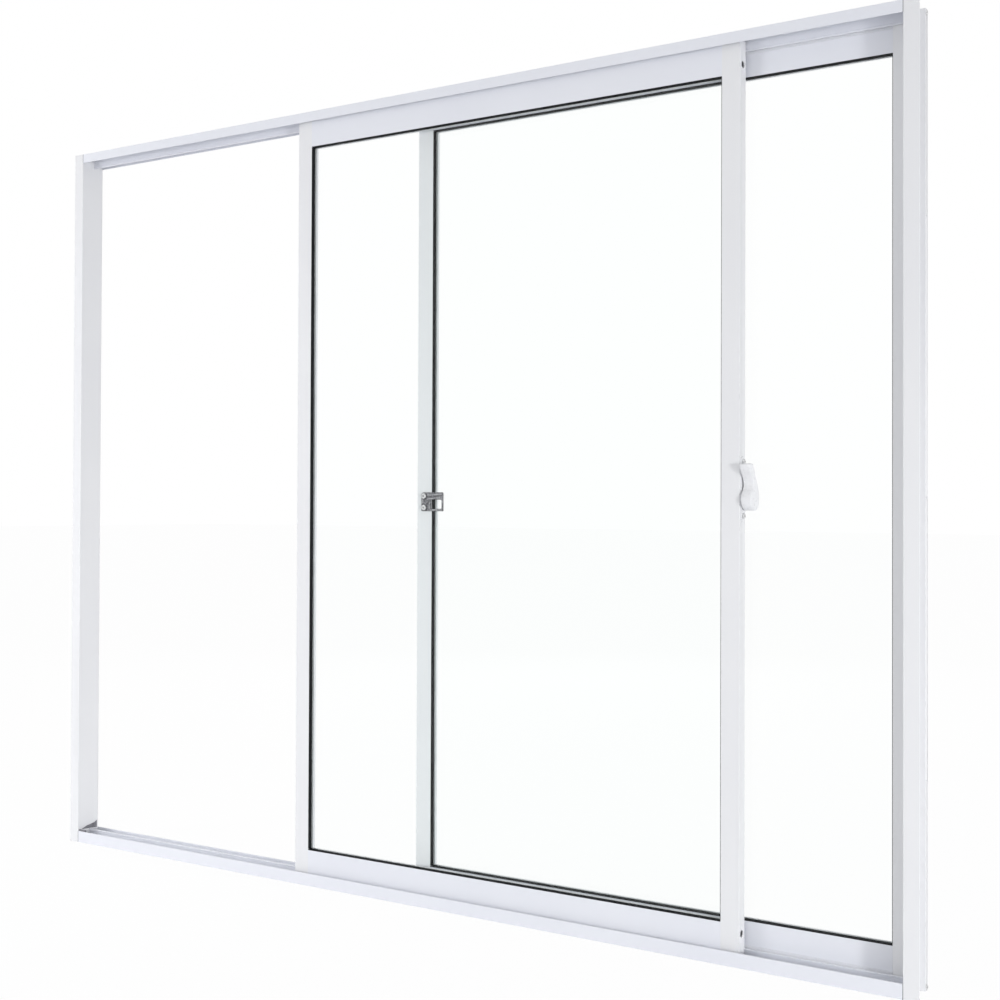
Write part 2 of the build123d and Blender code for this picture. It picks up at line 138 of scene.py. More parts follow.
# Latch lever: its outline seen from the right, as depth from its hub's middle and height above it
LEVER_OUTLINE = (
    (-18.0, 44.0), (-16.2, 46.6), (-8.0, 47.0), (-4.8, 44.5), (0.5, 34.5), (6.5, 23.5), (11.0, 13.0),
    (13.2, 2.0), (11.0, -7.5), (5.5, -12.6), (-1.5, -13.4), (-8.5, -10.0), (-12.6, -4.0), (-13.4, 2.5),
    (-10.5, 9.5), (-6.5, 15.0), (-5.2, 21.0), (-9.0, 30.0), (-15.5, 38.0),
)
LEVER_EDGE = 1.6 * MM
LEVER_FLAT_SIDE = 0.99

# Keeper
KEEPER_CORNER = 6.0 * MM
KEEPER_HEAD_RADIUS = 4.2 * MM
KEEPER_HEAD_GAP = 0.3 * MM
KEEPER_BOSS = 5.4 * MM
KEEPER_EDGE = 0.35 * MM
KEEPER_PLATE_WIDTH = 18.0 * MM
KEEPER_BAR = 3.0 * MM
KEEPER_LOW_BAR = 3.6 * MM
KEEPER_TOP_BAR = 11.0 * MM
KEEPER_RIB_HEIGHT = 0.7 * MM
KEEPER_RIB_WIDTH = 2.2 * MM

# Turns of a plate that is drawn flat, so that it faces the room or the right
FACING_ROOM = Matrix.Rotation(math.pi / 2, 4, "X")
FACING_RIGHT = Matrix(((0, 0, 1, 0), (1, 0, 0, 0), (0, 1, 0, 0), (0, 0, 0, 1)))

# Studio: each lamp with its place, target, size, power in watts and beam in degrees
FLOOR_SIZE = 60.0
FLOOR_SHADOW_SHARE = 0.03
WORLD_LEVEL = 0.585
LAMPS = (
    ("front_left", (-1.9, -2.4, 0.9), (0.0, 0.0, 0.8), 1.2, 21.0, 180),
    ("right_side", (6.5, -3.0, 0.45), (0.0, 0.0, -0.3), 0.8, 21.0, 60),
    ("right_low", (1.9, -0.9, 0.25), (0.7, 0.0, 0.2), 0.4, 3.3, 180),
    ("over_sill", (-1.6, -1.5, 2.1), (-0.5, 0.0, 0.0), 0.6, 1.0, 50),
    ("back", (-1.5, 3.0, 1.6), (0.0, 0.0, 0.6), 1.6, 33.0, 180),
)


# Materials

def new_material(name):
    """An empty material with its shader, and the object coordinates that its details are laid out on."""
    made = bpy.data.materials.new(name)
    made.use_nodes = True
    tree = made.node_tree
    shader = tree.nodes["Principled BSDF"]
    place = tree.nodes.new("ShaderNodeTexCoord").outputs["Object"]
    return made, tree, shader, place


def stretched(tree, place, scale):
    """Coordinates stretched along each axis."""
    mapping = tree.nodes.new("ShaderNodeMapping")
    mapping.inputs["Scale"].default_value = scale
    tree.links.new(place, mapping.inputs["Vector"])
    return mapping.outputs["Vector"]


def noise(tree, place, scale, detail=2.0, rough=0.5):
    """A noise texture's value."""
    texture = tree.nodes.new("ShaderNodeTexNoise")
    texture.inputs["Scale"].default_value = scale
    texture.inputs["Detail"].default_value = detail
    texture.inputs["Roughness"].default_value = rough
    tree.links.new(place, texture.inputs["Vector"])
    return texture.outputs["Fac"]


def spread(tree, value, low, high, from_low=0.3, from_high=0.7):
    """A value moved to another range."""
    change = tree.nodes.new("ShaderNodeMapRange")
    change.inputs["From Min"].default_value = from_low
    change.inputs["From Max"].default_value = from_high
    change.inputs["To Min"].default_value = low
    change.inputs["To Max"].default_value = high
    tree.links.new(value, change.inputs["Value"])
    return change.outputs["Result"]


def ramp(tree, value, stops):
    """A colour for each value."""
    made = tree.nodes.new("ShaderNodeValToRGB")
    elements = made.color_ramp.elements
    while len(elements) < len(stops):
        elements.new(0.5)
    for element, (position, color) in zip(elements, stops):
        element.position = position
        element.color = (*color, 1.0)
    tree.links.new(value, made.inputs["Fac"])
    return made.outputs["Color"]


def bumped(tree, shader, layers):
    """Stacks bump layers, each a height with its depth in metres and its strength."""
    normal = None
    for height, depth, strength in layers:
        bump = tree.nodes.new("ShaderNodeBump")
        bump.inputs["Distance"].default_value = depth
        bump.inputs["Strength"].default_value = strength
        tree.links.new(height, bump.inputs["Height"])
        if normal:
            tree.links.new(normal, bump.inputs["Normal"])
        normal = bump.outputs["Normal"]
    tree.links.new(normal, shader.inputs["Normal"])


def white_paint(name, grain, dark, light):
    """Satin powder coat: fine orange peel over faint draw lines of the aluminium, which run along grain."""
    made, tree, shader, place = new_material(name)
    peel = noise(tree, place, 950.0, 3.0)
    lines = noise(tree, stretched(tree, place, grain), 1.0, 2.0)
    cloud = noise(tree, place, 5.0, 2.0)
    color = ramp(tree, cloud, [(0.3, dark), (0.7, light)])
    tree.links.new(color, shader.inputs["Base Color"])
    tree.links.new(spread(tree, peel, 0.36, 0.48), shader.inputs["Roughness"])
    shader.inputs["Coat Weight"].default_value = 0.1
    shader.inputs["Coat Roughness"].default_value = 0.2
    bumped(tree, shader, [(lines, 0.02 * MM, 0.25), (peel, 0.03 * MM, 0.35)])
    return made


def latch_paint():
    """Smooth white paint on a casting."""
    made, tree, shader, place = new_material("latch_paint")
    ripple = noise(tree, place, 260.0, 2.0)
    peel = noise(tree, place, 1500.0, 2.0)
    color = ramp(tree, ripple, [(0.3, (0.80, 0.805, 0.825)), (0.7, (0.825, 0.83, 0.85))])
    tree.links.new(color, shader.inputs["Base Color"])
    tree.links.new(spread(tree, ripple, 0.26, 0.36), shader.inputs["Roughness"])
    shader.inputs["Coat Weight"].default_value = 0.25
    shader.inputs["Coat Roughness"].default_value = 0.12
    bumped(tree, shader, [(ripple, 0.05 * MM, 0.2), (peel, 0.01 * MM, 0.3)])
    return made


def either(tree, first, second):
    """1 where at least one of two values is 1."""
    made = tree.nodes.new("ShaderNodeMath")
    made.operation = "MAXIMUM"
    tree.links.new(first, made.inputs[0])
    tree.links.new(second, made.inputs[1])
    return made.outputs["Value"]


def window_glass():
    """Clear float glass, which lets the light fall on what is behind it."""
    made, tree, shader, place = new_material("window_glass")
    waves = noise(tree, place, 3.0, 1.0)
    shader.inputs["Base Color"].default_value = (0.992, 1.0, 0.997, 1.0)
    shader.inputs["Transmission Weight"].default_value = 1.0
    shader.inputs["Roughness"].default_value = 0.0
    shader.inputs["IOR"].default_value = GLASS_INDEX
    bumped(tree, shader, [(waves, 0.05 * MM, 0.05)])
    clear = tree.nodes.new("ShaderNodeBsdfTransparent")
    clear.inputs["Color"].default_value = (0.975, 0.99, 0.985, 1.0)
    rays = tree.nodes.new("ShaderNodeLightPath").outputs
    blend = tree.nodes.new("ShaderNodeMixShader")
    tree.links.new(either(tree, rays["Is Shadow Ray"], rays["Is Diffuse Ray"]), blend.inputs["Fac"])
    tree.links.new(shader.outputs["BSDF"], blend.inputs[1])
    tree.links.new(clear.outputs["BSDF"], blend.inputs[2])
    tree.links.new(blend.outputs["Shader"], tree.nodes["Material Output"].inputs["Surface"])
    return made


def glazing_rubber(name, middle):
    """Matt extruded rubber, black on the room side of the pane's middle and pale grey on the outer side."""
    made, tree, shader, place = new_material(name)
    grain = noise(tree, place, 2200.0, 2.0)
    bloom = noise(tree, place, 40.0, 3.0)
    black = ramp(tree, bloom, [(0.35, (0.006, 0.007, 0.008)), (0.75, (0.014, 0.015, 0.017))])
    pale = ramp(tree, bloom, [(0.35, (0.80, 0.81, 0.83)), (0.75, (0.85, 0.86, 0.88))])
    parts = tree.nodes.new("ShaderNodeSeparateXYZ")
    tree.links.new(place, parts.inputs["Vector"])
    outer = tree.nodes.new("ShaderNodeMath")
    outer.operation = "GREATER_THAN"
    outer.inputs[1].default_value = middle
    tree.links.new(parts.outputs["Y"], outer.inputs[0])
    color = tree.nodes.new("ShaderNodeMixRGB")
    tree.links.new(outer.outputs["Value"], color.inputs["Fac"])
    tree.links.new(black, color.inputs["Color1"])
    tree.links.new(pale, color.inputs["Color2"])
    tree.links.new(color.outputs["Color"], shader.inputs["Base Color"])
    tree.links.new(spread(tree, bloom, 0.6, 0.75), shader.inputs["Roughness"])
    shader.inputs["Specular IOR Level"].default_value = 0.2
    bumped(tree, shader, [(grain, 0.02 * MM, 0.4)])
    return made


def painted_corner_shade(tree, color, reach, dark):
    """A colour that is darker in corners closer than reach: painted shade, standing in for the shade that
    falls in them.
    """
    corners = tree.nodes.new("ShaderNodeAmbientOcclusion")
    corners.inputs["Distance"].default_value = reach
    corners.samples = 8
    unshaded_share = spread(tree, corners.outputs["AO"], dark, 1.0, 0.35, 0.85)
    mixed = tree.nodes.new("ShaderNodeMixRGB")
    mixed.blend_type = "MULTIPLY"
    mixed.inputs["Fac"].default_value = 1.0
    tree.links.new(color, mixed.inputs["Color1"])
    tree.links.new(unshaded_share, mixed.inputs["Color2"])
    return mixed.outputs["Color"]


def cast_zinc(name, dark, middle, light):
    """Zinc plate on a rough casting, blotched dark and light grey, with painted shade darkening its corners.
    """
    made, tree, shader, place = new_material(name)
    blotch = noise(tree, place, 420.0, 4.0, 0.6)
    pits = noise(tree, place, 1500.0, 3.0)
    color = ramp(tree, blotch, [(0.40, dark), (0.5, middle), (0.60, light)])
    tree.links.new(painted_corner_shade(tree, color, 1.5 * MM, 0.25), shader.inputs["Base Color"])
    tree.links.new(spread(tree, blotch, 0.55, 0.34), shader.inputs["Roughness"])
    shader.inputs["Metallic"].default_value = 0.75
    bumped(tree, shader, [(blotch, 0.25 * MM, 0.45), (pits, 0.08 * MM, 0.5)])
    return made


def screw_steel():
    """Zinc-plated steel with fine turning marks, and painted shade darkening its corners."""
    made, tree, shader, place = new_material("screw_steel")
    marks = noise(tree, place, 3200.0, 2.0)
    haze = noise(tree, place, 300.0, 2.0)
    color = ramp(tree, haze, [(0.3, (0.62, 0.63, 0.64)), (0.7, (0.86, 0.86, 0.87))])
    tree.links.new(painted_corner_shade(tree, color, 1.0 * MM, 0.12), shader.inputs["Base Color"])
    tree.links.new(spread(tree, haze, 0.2, 0.34), shader.inputs["Roughness"])
    shader.inputs["Metallic"].default_value = 1.0
    bumped(tree, shader, [(marks, 0.01 * MM, 0.4)])
    return made


def moulded_plastic(name, dark, light, rough):
    """Moulded plastic with a fine spark-eroded texture."""
    made, tree, shader, place = new_material(name)
    grain = noise(tree, place, 2600.0, 2.0)
    cloud = noise(tree, place, 90.0, 2.0)
    tree.links.new(ramp(tree, cloud, [(0.3, dark), (0.7, light)]), shader.inputs["Base Color"])
    tree.links.new(spread(tree, grain, rough - 0.06, rough + 0.06), shader.inputs["Roughness"])
    bumped(tree, shader, [(grain, 0.015 * MM, 0.5)])
    return made


def grey_brush():
    """Woven pile: whitish polypropylene fibres."""
    made, tree, shader, place = new_material("grey_brush")
    strands = noise(tree, place, 1800.0, 2.0)
    color = ramp(tree, strands, [(0.3, (0.68, 0.69, 0.73)), (0.7, (0.82, 0.83, 0.87))])
    tree.links.new(color, shader.inputs["Base Color"])
    shader.inputs["Roughness"].default_value = 0.85
    shader.inputs["Sheen Weight"].default_value = 0.3
    bumped(tree, shader, [(strands, 0.1 * MM, 0.6)])
    return made


def middle_depth(node):
    """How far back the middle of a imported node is."""
    low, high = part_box(node)
    return (low.y + high.y) / 2


ALONG_X = (2.0, 1500.0, 1500.0)
ALONG_Z = (1500.0, 1500.0, 2.0)
level_paint = white_paint("white_paint_level", ALONG_X, (0.775, 0.79, 0.845), (0.80, 0.815, 0.865))
upright_paint = white_paint("white_paint_upright", ALONG_Z, (0.79, 0.795, 0.815), (0.815, 0.82, 0.835))
fitting_paint = latch_paint()
glass = window_glass()
leaf_seals = {}
for leaf in LEAVES:
    leaf_seals[leaf] = glazing_rubber(f"glazing_rubber_{leaf}", middle_depth(f"{leaf}_glass"))
zinc = cast_zinc("cast_zinc", (0.09, 0.09, 0.10), (0.20, 0.20, 0.215), (0.34, 0.34, 0.36))
# A lighter copy of the zinc for the keeper's raised ribs: painted highlight.
rib_highlight_zinc = cast_zinc("rib_highlight_zinc", (0.28, 0.28, 0.30), (0.40, 0.40, 0.42), (0.58, 0.58, 0.60))
steel = screw_steel()
# The grey sealant also colours the dark block at the left jamb's foot, where it is painted shade.
sealant = moulded_plastic("grey_sealant_and_shade", (0.13, 0.13, 0.145), (0.24, 0.24, 0.26), 0.6)
nylon = moulded_plastic("nylon_wheel", (0.60, 0.60, 0.56), (0.70, 0.70, 0.66), 0.42)
housing = moulded_plastic("housing_plastic", (0.035, 0.036, 0.04), (0.06, 0.06, 0.065), 0.5)
pile = grey_brush()


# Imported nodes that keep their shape

def dress(name, material, round_edge=0.0):
    """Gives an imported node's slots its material, and rounds its sharp edges."""
    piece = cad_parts[name]
    for material_slot in piece.material_slots:
        material_slot.material = material
    if round_edge:
        weld = piece.modifiers.new("weld", "WELD")
        weld.merge_threshold = WELD_REACH
        bevel = piece.modifiers.new("round", "BEVEL")
        bevel.width = round_edge
        bevel.segments = 2
        bevel.limit_method = "ANGLE"
        bevel.angle_limit = math.radians(40)
        piece.modifiers.new("normals", "WEIGHTED_NORMAL")


def dress_nodes():
    """The profiles, panes, seals and fittings that stay as they are in model.glb."""
    for name in ("head", "sill"):
        dress(name, level_paint, PROFILE_ROUND)
    for name in ("left_jamb", "right_jamb"):
        dress(name, upright_paint, PROFILE_ROUND)
    for leaf in LEAVES:
        for side in ("left", "right"):
            dress(f"{leaf}_{side}_stile", upright_paint, PROFILE_ROUND)
            dress(f"{leaf}_{side}_gasket", leaf_seals[leaf], RUBBER_ROUND)
        for side in ("top", "bottom"):
            dress(f"{leaf}_{side}_rail", level_paint, PROFILE_ROUND)
            dress(f"{leaf}_{side}_gasket", leaf_seals[leaf], RUBBER_ROUND)
        dress(f"{leaf}_glass", glass, GLASS_ROUND)
        dress(f"{leaf}_roller_housings", housing, FITTING_ROUND)
        dress(f"{leaf}_top_guides", housing, FITTING_ROUND)
    dress("latch_plate", fitting_paint, FITTING_ROUND)


# Pieces made here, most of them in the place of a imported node

def linked(name, data):
    """A new object in the scene."""
    made = bpy.data.objects.new(name, data)
    bpy.context.scene.collection.objects.link(made)
    return made


def finished(mesh, name):
    """The finished mesh of a bmesh."""
    made = bpy.data.meshes.new(name)
    mesh.to_mesh(made)
    mesh.free()
    return made


def add_piece(name, mesh, materials, node=None):
    """Puts a mesh in the scene as a piece of the window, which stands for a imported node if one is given."""
    for material in materials:
        mesh.materials.append(material)
    piece = linked(name, mesh)
    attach(piece, BODY)
    if node:
        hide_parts(node)


def solids_of(name):
    """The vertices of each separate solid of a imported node."""
    mesh = bmesh.new()
    mesh.from_mesh(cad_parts[name].data)
    bmesh.ops.remove_doubles(mesh, verts=mesh.verts, dist=WELD_REACH)
    left = set(mesh.verts)
    solids = []
    while left:
        reach = [left.pop()]
        found = []
        while reach:
            vertex = reach.pop()
            found.append(vertex.co.copy())
            for edge in vertex.link_edges:
                other = edge.other_vert(vertex)
                if other in left:
                    left.remove(other)
                    reach.append(other)
        solids.append(found)
    mesh.free()
    return sorted(solids, key=lambda points: tuple(round(v, 4) for v in box_of(points)[0]))


def box_of(points):
    """The lowest and highest corners of some points."""
    low = Vector([min(point[axis] for point in points) for axis in range(3)])
    high = Vector([max(point[axis] for point in points) for axis in range(3)])
    return low, high


def turned(profile, steps=ROUND_STEPS):
    """A solid of revolution about Z, from a profile of radius and height that starts and ends on the axis."""
    mesh = bmesh.new()
    rings = []
    for radius, height in profile:
        if radius == 0:
            rings.append([mesh.verts.new((0, 0, height))])
            continue
        ring = []
        for step in range(steps):
            angle = 2 * math.pi * step / steps
            ring.append(mesh.verts.new((radius * math.cos(angle), radius * math.sin(angle), height)))
        rings.append(ring)
    for low, high in zip(rings, rings[1:]):
        for step in range(steps):
            after = (step + 1) % steps
            near = [low[step % len(low)], low[after % len(low)]]
            far = [high[after % len(high)], high[step % len(high)]]
            mesh.faces.new(list(dict.fromkeys(near + far)))
    for face in mesh.faces:
        face.smooth = True
    bmesh.ops.recalc_face_normals(mesh, faces=mesh.faces)
    return finished(mesh, "turned")


def add_box(mesh, low, high):
    """Adds a plain box to a bmesh."""
    place = Matrix.Translation((low + high) / 2) @ Matrix.Diagonal((*(high - low), 1.0))
    bmesh.ops.create_cube(mesh, size=1.0, matrix=place)


def cross_cutter():
    """The four-winged point of a cross-head driver, below the top of a screw's head."""
    mesh = bmesh.new()
    for turn in (0, math.pi / 2):
        top_reach = Vector((CROSS_REACH, CROSS_HALF_WIDTH))
        corners = []
        for share, height in ((1.0, HEAD_HEIGHT * 2), (CROSS_FOOT_SHARE, HEAD_HEIGHT - CROSS_DEPTH)):
            for x, y in ((-1, -1), (1, -1), (1, 1), (-1, 1)):
                point = Vector((x * top_reach.x * share, y * top_reach.y * (0.4 + 0.6 * share), height))
                corners.append(mesh.verts.new(Matrix.Rotation(turn, 3, "Z") @ point))
        mesh.faces.new(corners[:4])
        mesh.faces.new(corners[4:][::-1])
        for step in range(4):
            after = (step + 1) % 4
            mesh.faces.new((corners[step], corners[after], corners[4 + after], corners[4 + step]))
    bmesh.ops.recalc_face_normals(mesh, faces=mesh.faces)
    return finished(mesh, "cross_cutter")


def screw_head(radius):
    """A pan head above Z = 0, with a cross recess."""
    profile = [(0, 0), (radius - HEAD_CHAMFER, 0), (radius, HEAD_CHAMFER), (radius, HEAD_RIM)]
    for step in range(1, HEAD_DOME_STEPS):
        angle = math.pi / 2 * step / HEAD_DOME_STEPS
        profile.append((radius * (HEAD_FLAT_SHARE + (1.0 - HEAD_FLAT_SHARE) * math.cos(angle)),
                        HEAD_RIM + (HEAD_HEIGHT - HEAD_RIM) * math.sin(angle)))
    profile.append((radius * HEAD_FLAT_SHARE, HEAD_HEIGHT))
    profile.append((0, HEAD_HEIGHT))
    head = linked("screw_head", turned(profile))
    cutter = linked("cross_cutter", cross_cutter())
    cut = head.modifiers.new("cut", "BOOLEAN")
    cut.operation = "DIFFERENCE"
    cut.solver = "EXACT"
    cut.use_self = True
    cut.object = cutter
    bpy.context.view_layer.update()
    ready = bpy.data.meshes.new_from_object(head.evaluated_get(bpy.context.evaluated_depsgraph_get()))
    for piece in (head, cutter):
        bpy.data.objects.remove(piece)
    return ready


def screw_shaft(length):
    """A ringed shaft below Z = 0, with a point at its end."""
    point_length = 2.0 * SHAFT_RADIUS
    profile = [(0, SHAFT_TUCK), (SHAFT_RADIUS, SHAFT_TUCK)]
    depth = THREAD_PITCH / 2
    while depth < length - point_length:
        profile.append((CORE_RADIUS, -depth))
        profile.append((SHAFT_RADIUS, -depth - THREAD_PITCH / 2))
        depth += THREAD_PITCH
    profile.append((CORE_RADIUS, -length + point_length / 2))
    profile.append((0, -length))
    return turned(profile, SHAFT_STEPS)


def width_near(points, axis, place):
    """How far a solid reaches beside its own middle, near a place along an axis."""
    low, high = box_of(points)
    middle = (low + high) / 2
    near = [point for point in points if abs(point[axis] - place) < HEAD_HEIGHT / 2]
    return max((point - middle)[(axis + 1) % 3] for point in near)


def screws(node, axis, head_radius=HEAD_RADIUS, head_share=1.0):
    """Detailed screws in the place of each plain one of a node. Their heads are on the wider end."""
    mesh = bmesh.new()
    head = screw_head(head_radius)
    head.transform(Matrix.Diagonal((1.0, 1.0, head_share, 1.0)))
    for number, points in enumerate(solids_of(node)):
        low, high = box_of(points)
        middle = (low + high) / 2
        length = high[axis] - low[axis]
        head_is_high = width_near(points, axis, high[axis]) > width_near(points, axis, low[axis])
        direction = 1 if head_is_high else -1
        outward = Vector([direction if part == axis else 0 for part in range(3)])
        seat = middle + outward * (length / 2 - HEAD_HEIGHT)
        turn = outward.to_track_quat("Z", "Y").to_matrix().to_4x4()
        twist = Matrix.Rotation(math.radians(25 + 38 * number), 4, "Z")
        for part in (head, screw_shaft(length - HEAD_HEIGHT)):
            copy = part.copy()
            copy.transform(Matrix.Translation(seat) @ turn @ twist)
            mesh.from_mesh(copy)
            bpy.data.meshes.remove(copy)
    add_piece(f"{node}_detail", finished(mesh, node), [steel], node)


def brush_strip(mesh, low, high, web_side, draw):
    """One brush: a woven backing on the leaf's side and rows of leaning fibres towards web_side."""
    size = high - low
    along = 0 if size.x > size.z else 2
    across = 2 - along
    backing = size.y * BACKING_SHARE
    back_low, back_high = low.copy(), high.copy()
    if web_side > 0:
        back_high.y = low.y + backing
    else:
        back_low.y = high.y - backing
    add_box(mesh, back_low, back_high)
    root = back_high.y if web_side > 0 else back_low.y
    tip = high.y if web_side > 0 else low.y
    place = low[along] + TUFT_PITCH / 2
    while place < high[along]:
        for row in range(TUFT_ROWS):
            base = Vector((0, root, 0))
            base[along] = place + draw.uniform(-0.3, 0.3) * TUFT_PITCH
            base[across] = low[across] + size[across] * (row + 0.5 + draw.uniform(-0.25, 0.25)) / TUFT_ROWS
            end = base.copy()
            end.y = root + (tip - root) * draw.uniform(TUFT_SHORTEST_SHARE, 1.0)
            end[along] = min(max(base[along] + draw.uniform(-1, 1) * TUFT_LEAN, low[along]), high[along])
            width = Vector((0, 0, 0))
            width[along] = TUFT_WIDTH / 2
            depth = Vector((0, 0, 0))
            depth[across] = size[across] / TUFT_ROWS * TUFT_DEPTH_SHARE
            foot = [base - width, base + depth, base + width, base - depth]
            corners = [mesh.verts.new(corner) for corner in foot]
            peak = mesh.verts.new(end)
            for step in range(4):
                mesh.faces.new((corners[step], corners[(step + 1) % 4], peak))
            mesh.faces.new(corners[::-1])
        place += TUFT_PITCH


def brushes(leaf, web_side):
    """The weather brushes of a leaf."""
    node = f"{leaf}_brushes"
    draw = random.Random(node)
    mesh = bmesh.new()
    for points in solids_of(node):
        low, high = box_of(points)
        brush_strip(mesh, low, high, web_side, draw)
    bmesh.ops.recalc_face_normals(mesh, faces=mesh.faces)
    add_piece(f"{node}_pile", finished(mesh, node), [pile], node)


def wheels(leaf):
    """Grooved roller wheels with a rim, a thin web and a hub."""
    node = f"{leaf}_roller_wheels"
    mesh = bmesh.new()
    for points in solids_of(node):
        low, high = box_of(points)
        middle = (low + high) / 2
        radius = (high.x - low.x) / 2
        half = (high.y - low.y) / 2
        bore = min((Vector((point.x, point.z)) - Vector((middle.x, middle.z))).length for point in points)
        hub = bore + WHEEL_HUB
        rim = radius - WHEEL_RIM
        sunk = -half + WHEEL_SINK
        profile = [(bore, -half), (hub, -half), (hub + WHEEL_SLOPE, sunk), (rim - WHEEL_SLOPE, sunk)]
        profile += [(rim, -half), (radius - WHEEL_SLOPE, -half), (radius, -half + WHEEL_SLOPE)]
        profile += [(radius - depth * MM, -half_width * MM) for depth, half_width in WHEEL_GROOVE]
        profile += [(ring, -height) for ring, height in profile[-2::-1]]
        profile.append(profile[0])
        wheel = turned(profile, WHEEL_STEPS)
        wheel.transform(Matrix.Translation(middle) @ Matrix.Rotation(math.pi / 2, 4, "X"))
        mesh.from_mesh(wheel)
        bpy.data.meshes.remove(wheel)
    bmesh.ops.remove_doubles(mesh, verts=mesh.verts, dist=WELD_REACH)
    bmesh.ops.recalc_face_normals(mesh, faces=mesh.faces)
    add_piece(f"{node}_detail", finished(mesh, node), [nylon], node)


def rounded_outline(left, right, bottom, top, radii):
    """The points of a rectangle with rounded corners; radii start at the lower left and go anticlockwise."""
    corners = [(left, bottom, 1, 1, 180), (right, bottom, -1, 1, 270)]
    corners += [(right, top, -1, -1, 0), (left, top, 1, -1, 90)]
    points = []
    for (x, z, inward_x, inward_z, start), radius in zip(corners, radii):
        for step in range(CORNER_STEPS + 1):
            angle = math.radians(start + 90 * step / CORNER_STEPS)
            points.append((x + inward_x * radius + radius * math.cos(angle),
                           z + inward_z * radius + radius * math.sin(angle)))
    return points


def ring_outline(x, z, radius, steps=24):
    """The points of a circle."""
    angles = [2 * math.pi * step / steps for step in range(steps)]
    return [(x + radius * math.cos(angle), z + radius * math.sin(angle)) for angle in angles]


def plate(outlines, front, rear, edge, facing=FACING_ROOM):
    """A flat plate with rounded edges. The outlines after the first one are holes in it."""
    curve = bpy.data.curves.new("plate", "CURVE")
    curve.dimensions = "2D"
    curve.fill_mode = "BOTH"
    curve.extrude = (rear - front) / 2 - edge
    curve.bevel_depth = edge
    curve.bevel_resolution = 2
    curve.offset = -edge
    for points in outlines:
        spline = curve.splines.new("POLY")
        spline.points.add(len(points) - 1)
        for point, (x, z) in zip(spline.points, points):
            point.co = (x, z, 0, 1)
        spline.use_cyclic_u = True
    shape = linked("plate", curve)
    bpy.context.view_layer.update()
    made = bpy.data.meshes.new_from_object(shape.evaluated_get(bpy.context.evaluated_depsgraph_get()))
    bpy.data.objects.remove(shape)
    made.transform(Matrix.Translation(facing @ Vector((0, 0, 1)) * -(front + rear) / 2) @ facing)
    return made


def rib(start, end, width, front, rear):
    """A raised rib between two points of the keeper, with round ends."""
    along = math.atan2(end[1] - start[1], end[0] - start[0])
    points = []
    for (x, z), first in ((end, -90), (start, 90)):
        for step in range(CORNER_STEPS + 1):
            angle = along + math.radians(first + 180 * step / CORNER_STEPS)
            points.append((x + width / 2 * math.cos(angle), z + width / 2 * math.sin(angle)))
    return plate([points], front, rear, KEEPER_RIB_HEIGHT * 0.35)


def smooth_outline(points, steps=6):
    """A closed outline that runs smoothly through some points."""
    made = []
    count = len(points)
    for number in range(count):
        before, start, end, after = (Vector(points[(number + shift) % count]) for shift in (-1, 0, 1, 2))
        for step in range(steps):
            share = step / steps
            bend = (2 * before - 5 * start + 4 * end - after) * share ** 2
            bend += (3 * start - 3 * end + after - before) * share ** 3
            made.append(tuple(start + ((end - before) * share + bend) / 2))
    return made


def latch_lever():
    """The lever as one smooth casting: a round hub that narrows into an arm with a square tip."""
    low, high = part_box("latch_lever")
    hub_y = middle_depth("latch_plate")
    hub_z = high.z - max(z for _, z in LEVER_OUTLINE) * MM
    outline = [(hub_y + y * MM, hub_z + z * MM) for y, z in smooth_outline(LEVER_OUTLINE)]
    made = plate([outline], -high.x, -low.x, LEVER_EDGE, FACING_RIGHT)
    for face in made.polygons:
        face.use_smooth = abs(face.normal.x) < LEVER_FLAT_SIDE
    add_piece("latch_lever_casting", made, [fitting_paint], "latch_lever")


